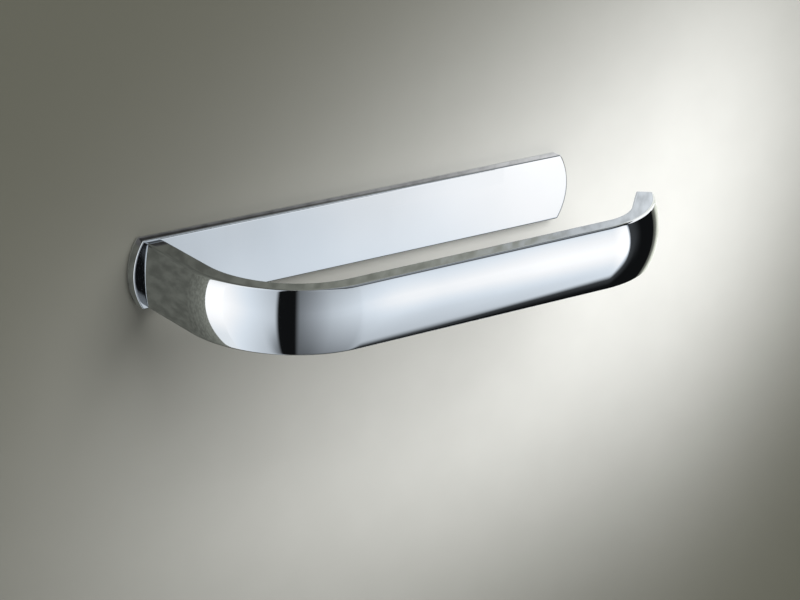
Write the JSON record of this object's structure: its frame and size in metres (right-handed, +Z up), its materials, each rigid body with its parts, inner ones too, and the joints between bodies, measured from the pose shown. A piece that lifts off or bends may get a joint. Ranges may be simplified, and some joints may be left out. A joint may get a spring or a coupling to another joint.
{
  "type": "toilet roll holder",
  "caption": "Wall-fixed open roll holder: a long flat plate with bowed ends carries a crowned strap arm that bends round in front of it and curls back at its free end.",
  "frame": {"origin": "middle of the plate's back face, on the wall", "axes": "+X along the plate, to the right as seen from the room; +Y into the wall; +Z up"},
  "size_m": [0.1832, 0.1067, 0.024],
  "materials": {
    "chrome": "mirror-polished chrome plating",
    "zinc_plate": "dull bright zinc plating on pressed steel",
    "black_steel": "black oxide on hardened steel",
    "stainless": "plain stainless steel",
    "nylon": "moulded grey nylon"
  },
  "bodies": {
    "holder": {"back_plate": "chrome", "arm": "chrome", "arm_screw_upper": "black_steel", "arm_screw_lower": "black_steel", "wall_bracket_left": "zinc_plate", "wall_bracket_right": "zinc_plate", "wall_screw_left_outer": "stainless", "wall_screw_left_inner": "stainless", "wall_screw_right_inner": "stainless", "wall_screw_right_outer": "stainless", "wall_plug_left_outer": "nylon", "wall_plug_left_inner": "nylon", "wall_plug_right_inner": "nylon", "wall_plug_right_outer": "nylon"},
    "left_set_screw": {"set_screw_left": "black_steel"},
    "right_set_screw": {"set_screw_right": "black_steel"}
  },
  "joints": [
    {"name": "left_set_screw_travel", "type": "slide", "parent": "holder", "child": "left_set_screw", "axis": [0, 0, -1], "range_m": [0, 0.002]},
    {"name": "right_set_screw_travel", "type": "slide", "parent": "holder", "child": "right_set_screw", "axis": [0, 0, -1], "range_m": [0, 0.002]}
  ]
}
